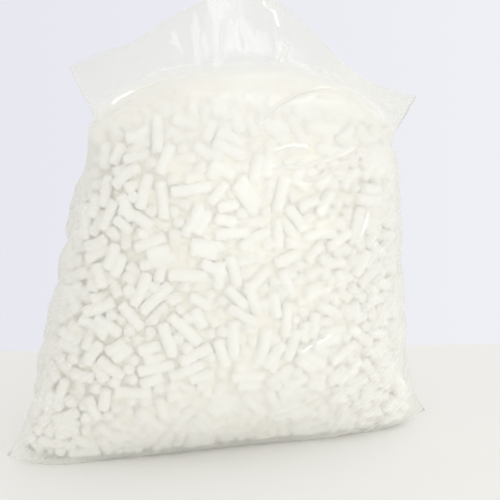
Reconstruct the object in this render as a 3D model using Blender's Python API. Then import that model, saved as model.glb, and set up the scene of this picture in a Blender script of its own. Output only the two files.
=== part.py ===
"""A clear polythene bag of white loose-fill packing peanuts, standing on its base.

The bag is a flat tube of film, sealed across the bottom and open at the mouth. The fill pushes its
front and back apart, the two bottom corners stick out as ears, and the slack film above the fill
stands up as a flap that leans back on the left and falls forward on the right. Metres, +Z up, the
front faces -Y, and the origin is on the ground under the middle of the bag.
"""

import bpy
import bmesh
import numpy as np
from mathutils import Vector
from mathutils.bvhtree import BVHTree
from mathutils.geometry import delaunay_2d_cdt

# Film: its wall, and the room between it and the fill
film_wall = 0.0004
fill_clearance = 0.0005
layer_half_gap = 0.0016

# Depth of the bag from front to back at its belly, and how far its front and back stand from the side
# folds: the front rises steeply from the ground, and the back bulges more
bag_depth = 0.276
belly_front = bag_depth * 0.38
belly_back = bag_depth - belly_front
shoulder_front = bag_depth * 0.31
shoulder_back = bag_depth * 0.42
neck_share_of_shoulder = 0.54
sole_front = bag_depth * 0.10
sole_back = bag_depth * 0.36
heel_share_front, heel_share_back = 0.50, 0.86
hip_share_front, hip_share_back = 0.74, 0.93
thigh_share_front, thigh_share_back = 0.93, 0.98

# Bottom of the bag: the two ears of the bottom seal, and how far each end of the seal turns back
ear_left = 0.300
ear_right = 0.264
ear_height = 0.018
sole_turn_left = 0.004
sole_turn_right = -0.024
hip_turn_share, thigh_turn_share = 0.6, 0.3

# Side folds above the ears: how far they have climbed and drawn in at the sole's rim, heel and hip
rim_rise, heel_rise, hip_rise = 0.0125, 0.037, 0.059
rim_inset, heel_inset, hip_inset = 0.012, 0.025, 0.034
right_inset_share = 0.70
heel_height = 0.022
hip_height = 0.052

# How much of each cross section's width lies level before it climbs to its folds
seal_level, rim_level, heel_level, hip_level, thigh_level, body_level = 0.78, 0.76, 0.55, 0.35, 0.20, 0.10

# Body: the heights and half widths of the belly and the shoulder, and how much of the way between
# the rows above and below the side folds have drawn in at the thigh and the chest
belly_height = 0.215
belly_left = 0.232
belly_right = 0.229
shoulder_height = 0.405
shoulder_left = 0.189
shoulder_right = 0.219
thigh_share, thigh_draw_left, thigh_draw_right = 0.42, 0.36, 0.244
chest_share, chest_draw_left, chest_draw_right = 0.60, 0.60, 0.42
chest_bulge_share = 0.34
thigh_fold_lift = 0.020
chest_fold_drop_left, chest_fold_drop_right = 0.006, 0.010
shoulder_fold_drop_left, shoulder_fold_drop_right = 0.026, 0.034

# Crown, where the front and back come together, and the flap of slack film above it
crown_height = 0.494
crown_left = 0.176
crown_right = 0.212
crown_fold_drop_left, crown_fold_drop_right = 0.050, 0.077
crown_lean_left, crown_lean_right = 0.010, -0.026
shoulder_lean_share, neck_lean_share = 0.15, 0.5
neck_inset = 0.006
neck_share = 0.66
neck_fold_drop = 0.020
flap_rise = 0.096
flap_bend_share = 0.45
flap_bend_lean_share = 0.63
flap_bend_set_back, mouth_set_back = 0.004, 0.002
flap_left = 0.195
flap_right = 0.207
flap_left_height = 0.500
flap_right_height = 0.464
flap_lean_back = 0.046
flap_fall_forward = 0.086

# Curves of a cross section: how its top line falls to the folds, and how the film leans to them
fall_power = 2.6
peak_power = 1.12
lean_power = 1.4

# Gathers: the film's spare length puckers beside the two side folds, between the ears and the crown
gather_height = 0.0080
gather_reach = 0.46
gather_unevenness = 0.6
fold_gather_share = 0.4
gather_start, gather_rise = 0.030, 0.040
gather_stop, gather_fade = 0.030, 0.050

# Fill: the peanuts and the heap that they settle in
heap_height = 0.464
heap_drop_across = 0.050
heap_drop_deep = 0.060
peanut_diameter = 0.0150
peanut_length = 0.0350
peanut_relief = 0.0095
edge_room = 0.042
sole_margin = 0.060

# Facets
film_rows = 38
film_columns = 14
section_steps = 181
border_pitch = 0.020
end_on_share = 0.22
packing_share = 0.84
settle_rounds = 90
clearing_step = 0.0004
seed = 11

STATION_FIELDS = (
    "middle_z", "left_z", "right_z", "left_x", "right_x", "front_y", "back_y",
    "middle_y", "left_y", "right_y", "level", "fullness", "peak",
)


def station(middle_z, folds_z, folds_x, bulges, lean, level=body_level, fullness=1.0, peak=0.0):
    """One cross section, in the order of STATION_FIELDS.

    It has the heights of its middle and of both side folds, the folds' distances from the middle, the
    front's and back's distances from the mid surface, that surface's place at the middle and at the
    folds, how much of the width is level, how full it is towards its folds, and how peaked on top.
    """
    return (middle_z, *folds_z, -folds_x[0], folds_x[1], *bulges, *lean, level, fullness, peak)


def stations():
    """The bag's cross sections from the bottom seal to the mouth."""
    turn = np.array([0, sole_turn_left, sole_turn_right])

    def above_ear(rise):
        return ear_height + rise, ear_height + rise

    def drawn_in(inset):
        return ear_left - inset, ear_right - inset * right_inset_share

    thigh_height = (belly_height + ear_height) * thigh_share
    thigh = (
        belly_left + (ear_left - belly_left) * thigh_draw_left,
        belly_right + (ear_right - belly_right) * thigh_draw_right,
    )
    chest_height = belly_height + (shoulder_height - belly_height) * chest_share
    chest = (
        belly_left + (shoulder_left - belly_left) * chest_draw_left,
        belly_right + (shoulder_right - belly_right) * chest_draw_right,
    )
    chest_front = belly_front + (shoulder_front - belly_front) * chest_bulge_share
    chest_back = belly_back + (shoulder_back - belly_back) * chest_bulge_share
    neck_height = shoulder_height + (crown_height - shoulder_height) * neck_share
    folds = np.array([crown_height - crown_fold_drop_left, crown_height - crown_fold_drop_right])
    flap_folds = np.array([flap_left_height, flap_right_height])
    crown_lean = np.array([0, crown_lean_left, crown_lean_right])
    flap_lean = np.array([0, flap_lean_back, -flap_fall_forward])
    crown_gap = 2.5 * layer_half_gap
    lips = (layer_half_gap, layer_half_gap)
    return np.array([
        station(0, above_ear(0), drawn_in(0), (0, 0), turn, level=seal_level),
        station(0, above_ear(rim_rise), drawn_in(rim_inset), (sole_front, sole_back), turn,
                level=rim_level, fullness=0.9),
        station(heel_height, above_ear(heel_rise), drawn_in(heel_inset),
                (belly_front * heel_share_front, belly_back * heel_share_back), turn,
                level=heel_level, fullness=0.85),
        station(hip_height, above_ear(hip_rise), drawn_in(hip_inset),
                (belly_front * hip_share_front, belly_back * hip_share_back), turn * hip_turn_share,
                level=hip_level, fullness=0.9),
        station(thigh_height, (thigh_height + thigh_fold_lift, thigh_height + thigh_fold_lift), thigh,
                (belly_front * thigh_share_front, belly_back * thigh_share_back), turn * thigh_turn_share,
                level=thigh_level, fullness=0.95),
        station(belly_height, (belly_height, belly_height), (belly_left, belly_right),
                (belly_front, belly_back), turn * 0),
        station(chest_height, (chest_height - chest_fold_drop_left, chest_height - chest_fold_drop_right),
                chest, (chest_front, chest_back), turn * 0),
        station(shoulder_height,
                (shoulder_height - shoulder_fold_drop_left, shoulder_height - shoulder_fold_drop_right),
                (shoulder_left, shoulder_right), (shoulder_front, shoulder_back),
                crown_lean * shoulder_lean_share),
        station(neck_height, folds - neck_fold_drop,
                ((shoulder_left + crown_left) / 2, shoulder_right - neck_inset),
                (shoulder_front * neck_share_of_shoulder, shoulder_back * neck_share_of_shoulder),
                crown_lean * neck_lean_share),
        station(crown_height, folds, (crown_left, crown_right), (crown_gap, crown_gap), crown_lean,
                fullness=0.8, peak=0.1),
        station(crown_height + flap_rise * flap_bend_share, (folds + flap_folds) / 2,
                ((crown_left + flap_left) / 2, (crown_right + flap_right) / 2), lips,
                flap_lean * flap_bend_lean_share + (flap_bend_set_back, 0, 0),
                level=0.05, fullness=0.4, peak=0.7),
        station(crown_height + flap_rise, flap_folds, (flap_left, flap_right), lips,
                flap_lean + (mouth_set_back, 0, 0), level=0, fullness=0.4, peak=1),
    ], float)


def through(points, places, at):
    """A smooth curve through the points, which stand at the given places along it, read at others."""
    slopes = np.gradient(points, places, axis=0)
    k = np.clip(np.searchsorted(places, at, side="right") - 1, 0, len(places) - 2)
    span = (places[k + 1] - places[k])[:, None]
    t = (at - places[k])[:, None] / span
    return (
        (2 * t**3 - 3 * t**2 + 1) * points[k] + (t**3 - 2 * t**2 + t) * span * slopes[k]
        + (3 * t**2 - 2 * t**3) * points[k + 1] + (t**3 - t**2) * span * slopes[k + 1]
    )


def section(row, columns, side):
    """One cross section's points from the left fold to the right one, evenly spaced along the film."""
    s = dict(zip(STATION_FIELDS, row))
    turn = np.linspace(np.pi, 0, section_steps)
    across = np.cos(turn)
    depth = np.sin(turn) ** s["fullness"]
    outward = -s["front_y"] if side < 0 else s["back_y"]
    half = (s["right_x"] - s["left_x"]) / 2
    x = (s["right_x"] + s["left_x"]) / 2 + half * across
    fold_z = np.where(across < 0, s["left_z"], s["right_z"])
    fold_y = np.where(across < 0, s["left_y"], s["right_y"])
    level = np.clip(s["level"], 0, 0.9)
    round_off = (np.clip(np.abs(across) - level, 0, 1) / (1 - level)) ** fall_power
    bell = np.where(across < 0, np.abs(across) ** peak_power, 0.5 - 0.5 * np.cos(np.pi * across))
    share = round_off + (bell - round_off) * np.clip(s["peak"], 0, 1)
    z = np.maximum(s["middle_z"] + (fold_z - s["middle_z"]) * share, 0)
    lean = s["middle_y"] + (fold_y - s["middle_y"]) * np.abs(across) ** lean_power
    y = lean + outward * depth
    points = np.stack([x, y, z], 1)
    step = np.linalg.norm(np.diff(np.stack([x, outward * depth], 1), axis=0), axis=1)
    run = np.concatenate([[0], np.cumsum(step)])
    at = np.linspace(0, run[-1], columns + 1)
    return np.stack([np.interp(at, run, points[:, k]) for k in range(3)], 1)


def film_grid():
    """The film's outer surface before its gathers: {side: rows x columns x 3}, and each row's place."""
    table = stations()
    profile = np.stack([table[:, 5], table[:, 0]], 1)
    places = np.concatenate([[0], np.cumsum(np.linalg.norm(np.diff(profile, axis=0), axis=1))])
    at = np.linspace(0, places[-1], film_rows + 1)
    rows = through(table, places, at)
    level = at <= places[1]
    rows[level, 0] = 0
    rows[:, 5:7] = np.maximum(rows[:, 5:7], 0)
    grid = {side: np.stack([section(r, film_columns, side) for r in rows]) for side in (-1, 1)}
    points = np.concatenate([part.reshape(-1, 3) for part in gathered(grid).values()])
    middle = (points.min(axis=0) + points.max(axis=0)) / 2
    return {side: part - [middle[0], middle[1], 0] for side, part in grid.items()}, at


def rising(i, j):
    """Whether a cell of the grid is split from its second corner to its fourth one.

    The split leans to the nearer side fold, and the other way in the ears, where it would join two
    corners that the front and the back share.
    """
    return (j < film_columns / 2) != (i == 0)


def facet_normal(a, b, c):
    n = np.cross(b - a, c - a)
    return n / np.maximum(np.linalg.norm(n, axis=-1, keepdims=True), 1e-12)


def vertex_normals(surface, side):
    """Outward normals of one side of the film at its grid points."""
    along = np.gradient(surface, axis=0)
    across = np.gradient(surface, axis=1)
    n = np.cross(across, along) * -side
    n[np.linalg.norm(n, axis=2) < 1e-9] = (0, 0, -1)
    return n / np.linalg.norm(n, axis=2, keepdims=True)


def gathered(grid):
    """The film with its gathers: uneven, slanting puckers that stand out beside the two side folds."""
    rows = np.arange(film_rows + 1)[:, None]
    columns = np.arange(film_columns + 1)[None, :]
    from_fold = np.minimum(columns, film_columns - columns)
    reach = np.clip(1 - from_fold / (film_columns * gather_reach), 0, 1)
    uneven = 1 - gather_unevenness * np.random.default_rng(seed).random((film_rows + 1, 1))
    raised = (rows + from_fold) % 2 * uneven
    made = {}
    for side, surface in grid.items():
        z = surface[:, :, 2]
        in_body = np.clip((z - gather_start) / gather_rise, 0, 1)
        in_body *= np.clip((crown_height - gather_stop - z) / gather_fade, 0, 1)
        push = vertex_normals(surface, side)
        fold = (from_fold == 0) * np.ones_like(z, bool)
        push[fold] = 0
        push[:, 0, 0] = -fold_gather_share
        push[:, -1, 0] = fold_gather_share
        made[side] = surface + push * (gather_height * raised * reach * in_body)[:, :, None]
    return made


def add_object(name, points, faces, colour, roughness, alpha):
    mesh = bpy.data.meshes.new(name)
    mesh.from_pydata([Vector(p) for p in points], [], faces)
    material = bpy.data.materials.new(name)
    material.use_nodes = True
    shader = material.node_tree.nodes["Principled BSDF"]
    shader.inputs["Base Color"].default_value = (*colour, 1)
    shader.inputs["Roughness"].default_value = roughness
    shader.inputs["Alpha"].default_value = alpha
    mesh.materials.append(material)
    obj = bpy.data.objects.new(name, mesh)
    bpy.context.scene.collection.objects.link(obj)
    return obj


def turn_outward(mesh):
    """Turns a closed body's facets outward."""
    built = bmesh.new()
    built.from_mesh(mesh)
    bmesh.ops.recalc_face_normals(built, faces=built.faces)
    built.to_mesh(mesh)
    built.free()


def film_bag(grid):
    """The bag: both sides of the gathered tube as one open sheet, given its wall inward by Solidify."""
    surface = gathered(grid)
    last = film_columns
    index, points = {}, []
    for side in (-1, 1):
        for i in range(film_rows + 1):
            for j in range(film_columns + 1):
                shared = side > 0 and (i == 0 or j in (0, last))
                index[side, i, j] = index[-1, i, j] if shared else len(points)
                if not shared:
                    points.append(surface[side][i, j])
    faces = []
    for side in (-1, 1):
        for i in range(film_rows):
            for j in range(film_columns):
                a, b = index[side, i, j], index[side, i, j + 1]
                c, d = index[side, i + 1, j + 1], index[side, i + 1, j]
                cell = [(a, b, d), (b, c, d)] if rising(i, j) else [(a, b, c), (a, c, d)]
                faces += cell if side < 0 else [corners[::-1] for corners in cell]
    bag = add_object("film_bag", points, faces, (0.93, 0.94, 0.92), 0.15, 0.25)
    wall = bag.modifiers.new("wall", "SOLIDIFY")
    wall.thickness = film_wall
    wall.offset = -1
    return bag


def on_grid(surface, u, v, side):
    """Points of the faceted film at columns u and rows v, with their facets' and smoothed normals."""
    i = np.clip(np.floor(v).astype(int), 0, film_rows - 1)
    j = np.clip(np.floor(u).astype(int), 0, film_columns - 1)
    s, t = (u - j)[:, None], (v - i)[:, None]

    def corners(field):
        return field[i, j], field[i, j + 1], field[i + 1, j + 1], field[i + 1, j]

    a, b, c, d = corners(surface)
    low, high = s + t < 1, s > t
    split_bd = np.where(low, a + (b - a) * s + (d - a) * t, c + (d - c) * (1 - s) + (b - c) * (1 - t))
    split_ac = np.where(high, a + (b - a) * s + (c - b) * t, a + (c - d) * s + (d - a) * t)
    normal_bd = np.where(low, facet_normal(a, b, d), facet_normal(b, c, d))
    normal_ac = np.where(high, facet_normal(a, b, c), facet_normal(a, c, d))
    split = rising(i, j)[:, None]
    point = np.where(split, split_bd, split_ac)
    normal = np.where(split, normal_bd, normal_ac) * -side
    a, b, c, d = corners(vertex_normals(surface, side))
    smooth = (a * (1 - s) + b * s) * (1 - t) + (d * (1 - s) + c * s) * t
    smooth /= np.linalg.norm(smooth, axis=1, keepdims=True)
    return point, normal, smooth


def spread_peanuts(width, low, high, count, rng):
    """Peanuts lying on a flat panel, as discs at their ends: places, and the peanut that each is of."""
    single = rng.random(count) < end_on_share
    centre = np.stack([rng.uniform(0, width, count), rng.uniform(low, high, count)], 1)
    turn = rng.uniform(0, np.pi, count)
    half = (peanut_length - peanut_diameter) / 2
    arm = np.stack([np.cos(turn), np.sin(turn)], 1) * half
    place = np.concatenate([centre - arm * ~single[:, None], (centre + arm)[~single]])
    owner = np.concatenate([np.arange(count), np.arange(count)[~single]])
    first = np.arange(count)[~single]
    second = count + np.arange(len(first))
    for _ in range(settle_rounds):
        gap = place[:, None] - place[None]
        far = np.linalg.norm(gap, axis=2) + 1e-9
        push = np.clip(peanut_diameter - far, 0, None) * (owner[:, None] != owner[None])
        place = place + (gap / far[:, :, None] * push[:, :, None]).sum(1) * 0.35
        arm = place[second] - place[first]
        length = np.linalg.norm(arm, axis=1, keepdims=True) + 1e-9
        pull = arm * (1 - 2 * half / length) / 2
        place[first] += pull
        place[second] -= pull
        place = np.clip(place, [peanut_diameter / 2, low], [width - peanut_diameter / 2, high])
    return place, owner


def peanut_mesh(border, place, owner):
    """Splits a panel into one ridged cell for each peanut: flat points, triangles, and which are low."""
    count = len(border)
    loop = [(k, (k + 1) % count) for k in range(count)]
    points = [Vector(p) for p in [*border, *place]]
    holder = [-1 - k for k in range(count)] + [int(o) for o in owner]
    flat, _, triangles, source, _, _ = delaunay_2d_cdt(points, loop, [], 1, 1e-6)
    holder = [holder[s[0]] if s else None for s in source]
    junctions, meets = [], {}
    for tri in triangles:
        held = {holder[k] for k in tri}
        if None in held or len(held) < 3 or max(held) < 0:
            continue
        spot = sum((flat[k] for k in tri), Vector((0, 0))) / 3
        for one in held:
            for other in held:
                if one < other and other >= 0:
                    meets.setdefault((one, other), []).append(len(junctions))
        junctions.append(spot)
    ridges = {}
    for k, o in enumerate(owner):
        ridges.setdefault(int(o), []).append(count + k)
    first = len(points)
    edges = loop + [tuple(r) for r in ridges.values() if len(r) == 2]
    edges += [(first + m[0], first + m[1]) for pair, m in meets.items() if len(m) == 2 and pair[0] >= 0]
    flat, _, triangles, source, _, _ = delaunay_2d_cdt(points + junctions, edges, [], 1, 1e-6)
    high = np.array([any(count <= k < first for k in s) for s in source])
    order = [next((k for k in s if k < count), None) for s in source]
    return np.array([(p.x, p.y) for p in flat]), triangles, ~high, order


def peanut_fill(grid, places):
    """The peanuts as one lump: a front and a back panel of ridged cells, closed by narrow side bands."""
    rng = np.random.default_rng(seed)
    top_row = int(np.argmax(grid[-1][:, film_columns // 2, 2] >= crown_height - 0.003)) - 1
    top = places[top_row]
    width = ear_left + ear_right - 2 * edge_room
    wide = max(2, round(width / border_pitch))
    tall = max(2, round(top / border_pitch))
    border = [(width * k / wide, 0) for k in range(wide)]
    border += [(width, top * k / tall) for k in range(tall)]
    border += [(width - width * k / wide, top) for k in range(wide)]
    border += [(0, top - top * k / tall) for k in range(tall)]
    cell = peanut_diameter * (peanut_length - peanut_diameter) * (1 - end_on_share)
    cell += np.pi / 4 * peanut_diameter**2
    margin = peanut_diameter * 0.6
    count = int(packing_share * width * (top - margin - sole_margin) / cell)
    bottom, right, across, left = (
        range(wide + 1), range(wide, wide + tall + 1),
        range(wide + tall, 2 * wide + tall + 1), list(range(2 * wide + tall, len(border))) + [0],
    )
    seams = set(bottom) | set(across)
    points, inwards, faces, found = [], [], [], {}
    for side in (-1, 1):
        place, owner = spread_peanuts(width, sole_margin, top - margin, count, rng)
        flat, triangles, low, order = peanut_mesh(border, place, owner)
        u = (flat[:, 0] + edge_room) / (width + 2 * edge_room) * film_columns
        v = np.interp(flat[:, 1], places, np.arange(film_rows + 1))
        spot, normal, smooth = on_grid(grid[side], u, v, side)
        _, other, _ = on_grid(grid[-side], u, v, -side)
        between = normal + other
        between /= np.linalg.norm(between, axis=1, keepdims=True) + 1e-9
        slant = np.clip((between * normal).sum(1), 0.12, 1)[:, None]
        seam = (flat[:, 1] < 1e-6)[:, None]
        spot = spot - np.where(seam, between / slant, normal) * (film_wall + fill_clearance)
        above = np.clip(1 + (spot[:, 2] - heap_surface(spot)) / 0.014, 0, 1)[:, None]
        inward = smooth * (1 - above) + np.array([0, 0, 1]) * above
        sink = np.where(low & (flat[:, 1] > sole_margin), peanut_relief, 0)
        spot = spot - inward * sink[:, None]
        spot[:, 2] = np.minimum(spot[:, 2], heap_surface(spot) - sink)
        index = []
        for k, p in enumerate(spot):
            shared = side > 0 and order[k] in seams
            index.append(found[-1, order[k]] if shared else len(points))
            if not shared:
                points.append(p)
                inwards.append(-smooth[k])
            if order[k] is not None:
                found[side, order[k]] = index[k]
        faces += [tuple(index[k] for k in tri) for tri in triangles]
    for band in (right, left):
        band = list(band)
        for a, b in zip(band, band[1:]):
            ring = [found[-1, a], found[-1, b], found[1, b], found[1, a]]
            ring = list(dict.fromkeys(ring))
            faces += [(ring[0], ring[k], ring[k + 1]) for k in range(1, len(ring) - 1)]
    points = clear_of_film(np.array(points), np.array(inwards), faces, grid)
    fill = add_object("peanut_fill", points, faces, (0.93, 0.91, 0.85), 0.8, 1)
    turn_outward(fill.data)
    return fill


def clear_of_film(points, inwards, faces, grid):
    """Moves the lump's corners inward wherever one of its facets comes too near the film."""
    limit, cells = [], []
    for side in (-1, 1):
        first = len(limit)
        skin = grid[side] - vertex_normals(grid[side], side) * (film_wall + fill_clearance * 0.6)
        limit += [Vector(p) for p in skin.reshape(-1, 3)]
        for i in range(film_rows):
            for j in range(film_columns):
                a = first + i * (film_columns + 1) + j
                b, c, d = a + 1, a + film_columns + 2, a + film_columns + 1
                cells += [(a, b, d), (b, c, d)] if rising(i, j) else [(a, b, c), (a, c, d)]
    film = BVHTree.FromPolygons(limit, cells)
    for _ in range(30):
        lump = BVHTree.FromPolygons([Vector(p) for p in points], faces)
        near = {k for face, _ in lump.overlap(film) for k in faces[face]}
        if not near:
            break
        near = sorted(near)
        points[near] += inwards[near] * clearing_step
    return points


def heap_surface(spot):
    """The height of the heap's top under each point: a low dome."""
    middle = (crown_right - crown_left + ear_left - ear_right) / 2
    across = (spot[:, 0] - middle) / ((crown_right + crown_left) / 2)
    middle_y = (shoulder_back - shoulder_front - belly_back + belly_front) / 2
    deep = (spot[:, 1] - middle_y) / ((shoulder_front + shoulder_back) / 2)
    return heap_height - heap_drop_across * across**2 - heap_drop_deep * deep**2


def main():
    for obj in list(bpy.data.objects):
        bpy.data.objects.remove(obj)
    grid, places = film_grid()
    film_bag(grid)
    peanut_fill(grid, places)


main()
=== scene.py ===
"""A clear film bag of loose-fill packing peanuts, standing on a pale table.

The film is a flat tube that is eased over the bag's lofted form until its spare length buckles into
gathers. The peanuts are separate rods that push each other apart inside it, round a core that closes
the gaps between them. Metres, +Z up, the front faces -Y.
"""

import math

import bpy
import bmesh
import numpy as np
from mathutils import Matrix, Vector
from mathutils.bvhtree import BVHTree


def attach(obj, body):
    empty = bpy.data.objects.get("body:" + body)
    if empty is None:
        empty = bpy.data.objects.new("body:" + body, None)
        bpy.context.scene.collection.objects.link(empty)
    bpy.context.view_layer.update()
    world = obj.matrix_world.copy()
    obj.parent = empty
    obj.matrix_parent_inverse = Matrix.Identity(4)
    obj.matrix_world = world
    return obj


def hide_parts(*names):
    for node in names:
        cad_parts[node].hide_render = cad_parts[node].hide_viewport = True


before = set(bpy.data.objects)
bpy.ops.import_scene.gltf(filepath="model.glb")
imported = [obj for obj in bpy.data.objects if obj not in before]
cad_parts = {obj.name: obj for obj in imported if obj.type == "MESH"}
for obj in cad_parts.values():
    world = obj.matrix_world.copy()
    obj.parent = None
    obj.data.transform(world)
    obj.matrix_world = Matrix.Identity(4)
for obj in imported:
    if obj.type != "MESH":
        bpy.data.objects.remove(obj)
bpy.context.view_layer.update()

# Half the room between the film's two layers where they lie together. The sizes down to the curves of a
# cross section are those of the part.
layer_half_gap = 0.0016
crown_half_gap = 2.5 * layer_half_gap

# Depth of the bag from front to back at its belly, and how far its front and back stand from the side
# folds: the front rises steeply from the ground, and the back bulges more
bag_depth = 0.276
belly_front = bag_depth * 0.38
belly_back = bag_depth - belly_front
shoulder_front = bag_depth * 0.31
shoulder_back = bag_depth * 0.42
neck_share_of_shoulder = 0.54
sole_front = bag_depth * 0.10
sole_back = bag_depth * 0.36
heel_share_front, heel_share_back = 0.50, 0.86
hip_share_front, hip_share_back = 0.74, 0.93
thigh_share_front, thigh_share_back = 0.93, 0.98

# Bottom of the bag: the two ears of the bottom seal, and how far each end of the seal turns back
ear_left = 0.300
ear_right = 0.264
ear_height = 0.018
sole_turn_left = 0.004
sole_turn_right = -0.024
hip_turn_share, thigh_turn_share = 0.6, 0.3

# Side folds above the ears: how far they have climbed and drawn in at the sole's rim, heel and hip
rim_rise, heel_rise, hip_rise = 0.0125, 0.037, 0.059
rim_inset, heel_inset, hip_inset = 0.012, 0.025, 0.034
right_inset_share = 0.70
heel_height = 0.022
hip_height = 0.052

# How much of each cross section's width lies level before it climbs to its folds, and how full it is
# towards its folds, from square to drawn out
seal_level, rim_level, heel_level, hip_level = 0.78, 0.76, 0.55, 0.35
thigh_level, body_level, bend_level = 0.20, 0.10, 0.05
rim_fullness, heel_fullness, hip_fullness, thigh_fullness = 0.9, 0.85, 0.9, 0.95
crown_fullness, flap_fullness = 0.8, 0.4
crown_peak, bend_peak = 0.1, 0.7

# Body: the heights and half widths of the belly and the shoulder, and how much of the way between
# the rows above and below the side folds have drawn in at the thigh and the chest
belly_height = 0.215
belly_left = 0.232
belly_right = 0.229
shoulder_height = 0.405
shoulder_left = 0.189
shoulder_right = 0.219
thigh_share, thigh_draw_left, thigh_draw_right = 0.42, 0.36, 0.244
chest_share, chest_draw_left, chest_draw_right = 0.60, 0.60, 0.42
chest_bulge_share = 0.34
thigh_fold_lift = 0.020
chest_fold_drop_left, chest_fold_drop_right = 0.006, 0.010
shoulder_fold_drop_left, shoulder_fold_drop_right = 0.026, 0.034

# Crown, where the front and back come together, and the flap of slack film above it
crown_height = 0.494
crown_left = 0.176
crown_right = 0.212
crown_fold_drop_left, crown_fold_drop_right = 0.050, 0.077
crown_lean_left, crown_lean_right = 0.010, -0.026
shoulder_lean_share, neck_lean_share = 0.15, 0.5
neck_inset = 0.006
neck_share = 0.66
neck_fold_drop = 0.020
flap_rise = 0.096
flap_bend_share = 0.45
flap_bend_lean_share = 0.63
flap_bend_set_back, mouth_set_back = 0.004, 0.002
flap_left = 0.195
flap_right = 0.207
flap_left_height = 0.500
flap_right_height = 0.464
flap_lean_back = 0.046
flap_fall_forward = 0.086

# Curves of a cross section: how its top line falls to the folds, and how the film leans to them
fall_power = 2.6
peak_power = 1.12
lean_power = 1.4

middle_x = (ear_left - ear_right) / 2
middle_y = (belly_front - belly_back) / 2
section_steps = 181

# Film: its cells from seal to mouth and from fold to fold, and how stiff it is on each of the nets that it
# is eased on, from coarse to fine. It is up to so many times as stiff above the shoulder.
film_rows = 152
film_columns = 116
film_steps = 220
film_stiffness = (0.05, 0.025, 0.008)
slack_stiffness = 2.5

# Each step gives back a share of the stretch, and a share of the way to the smooth form. The film stays
# between these depths below and above that form, with more room where it is slack or has spare length.
edge_pull, form_pull = 0.8, 0.002
film_sink, film_rise = 0.0008, 0.0015
slack_room, gather_room = 0.006, 0.090
first_stir = 0.0015
smoothed_share = 0.35

# Spare length of the film, as a share: beside the side folds, over the right ear, in the crown and flap,
# and everywhere. Below it is the slope of its creases, in degrees, and what the flap adds to it.
fold_spare, ear_spare, crown_spare, flap_spare, least_spare = 0.12, 0.07, 0.020, 0.080, 0.008
left_slope, right_slope, crown_slope, flap_slope = 58, 40, 22, 42

# Where parts of the film begin or end, as shares of the way up from seal to mouth, or from the left fold to
# the right one: its gathers beside the folds and over the ear, its crown, flap, stiffness, waves and dip
body_end = (0.60, 0.70)
left_end = (0.02, 0.24)
right_start = (0.62, 0.97)
ear_start, ear_top = (0.50, 0.95), (0.10, 0.42)
crown_start, crown_end = (0.56, 0.68), (0.82, 0.88)
flap_start = (0.82, 0.90)
slack_start = (0.60, 0.72)
stiff_start = (0.54, 0.66)
wave_start = (0.86, 0.96)
dip_start = (0.88, 1.0)
creased_end = (0.62, 0.70)
milky_flap_start = (0.83, 0.88)

# The first stir: its reach in cells, and the least spare length that it moves
stir_reach = (2, 2)
stirred_spare = 0.02

# Long creases of the front: their width and height, where a crease gives way to its neighbours, and the
# share of its length that it fades in over at each end
crease_width = 0.0052
crease_height = 0.0026
crease_reach = (0.0085, 0.0125)
crease_fade = 0.2

# Fine creases: the spare length that brings them out, their share of a crease, and how thin they are
creased_spare = (0.03, 0.15)
fine_crease_share = 0.35
streak_sharpness = 26.0

# Flap: its soft waves, and the dip in its top edge near the left corner
wave_height = 0.007
wave_reach = (9, 10)
dip_depth, dip_place, dip_width = 0.010, 0.19, 0.09

# Milk: how milky the film is on the body, what the crown adds and the flap takes away, and what sharp
# bends, fine creases and long creases add. The fine creases' milk is partly the film's whitening and partly
# a painted highlight; the long creases' milk is a painted highlight.
body_milk, crown_milk, flap_milk, bend_milk = 0.48, 0.16, 0.23, 0.08
fine_whitening_and_highlight, crease_painted_highlight = 0.70, 0.60
crease_gloss = 0.40
milky_crown_heights = (0.350, 0.440)
sharp_bend = (0.15, 0.50)

# Film as the light meets it: what it lets through, its gloss and its milk from either side, and its shine
film_clear = (0.990, 0.990, 0.974, 1)
film_gloss = (1, 1, 0.985, 1)
milk_colour = (0.93, 0.93, 0.905, 1)
glow_colour = (0.96, 0.96, 0.925, 1)
shine_gain, most_shine = 1.3, 0.36

# Peanuts: their radius, its spread, their length over all and the share of it that their bow takes. Their
# ends are domed by a share of the radius, and they give way to each other by a share of their thickness.
peanut_radius = 0.0076
peanut_thinnest, peanut_thickest = 0.93, 1.05
peanut_short, peanut_long = 0.027, 0.050
peanut_squash = 0.94
peanut_bow = 0.10
peanut_dome = 0.50
peanut_sides = 10
peanut_groups = 6

# How uneven a peanut is, as shares of its radius: its oval, the lump along it, and its three corners
oval_share, lump_share, corner_share = 0.035, 0.03, 0.02
lump_turn = 2.2

# Foam's two whites, and the warmer colour painted deep in the heap as the shade in the gaps between peanuts
foam_pale = (0.958, 0.953, 0.930, 1)
foam_white = (0.970, 0.968, 0.956, 1)
foam_deep_shade = (0.978, 0.948, 0.872, 1)

# Packing: how many peanuts, how deep below the film they start, how they are pushed apart and settle
# towards the film in each step, and after how many steps their neighbours are found again
peanut_count = 2050
pack_steps = 150
pack_depth = 0.030
push_share = 0.22
settle_step = 0.00025
neighbour_steps = 6
film_room = 0.0012
least_cover = 0.8

# Heap: its dome, the core below its surface, and the depths between which the painted shade warms its colour
heap_height = 0.484
heap_drop_across, heap_drop_deep = 0.050, 0.045
heap_steepness = 0.85
core_depth = 0.0115
core_side_share = 0.93
core_base_share = 0.8
least_core_share = 0.02
painted_shade_from, painted_shade_to = 0.0055, 0.0135
depth_cell = 0.009
form_rows, form_columns = 60, 44
core_rows, core_columns = 60, 48
seed = 7

# Camera, as the photograph was taken, and the table's far edge
photo_azimuth, photo_elevation = -16.0, 13.0
photo_distance = 1.45
photo_aim_right, photo_aim_height = 0.005, 0.285
photo_target = Vector((photo_aim_right + middle_x, middle_y, photo_aim_height))
photo_pixels = 500
photo_target_px = (238, 232)
millimetres_per_pixel = 1.30
focal_pixels = photo_distance * 1000 / millimetres_per_pixel
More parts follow.
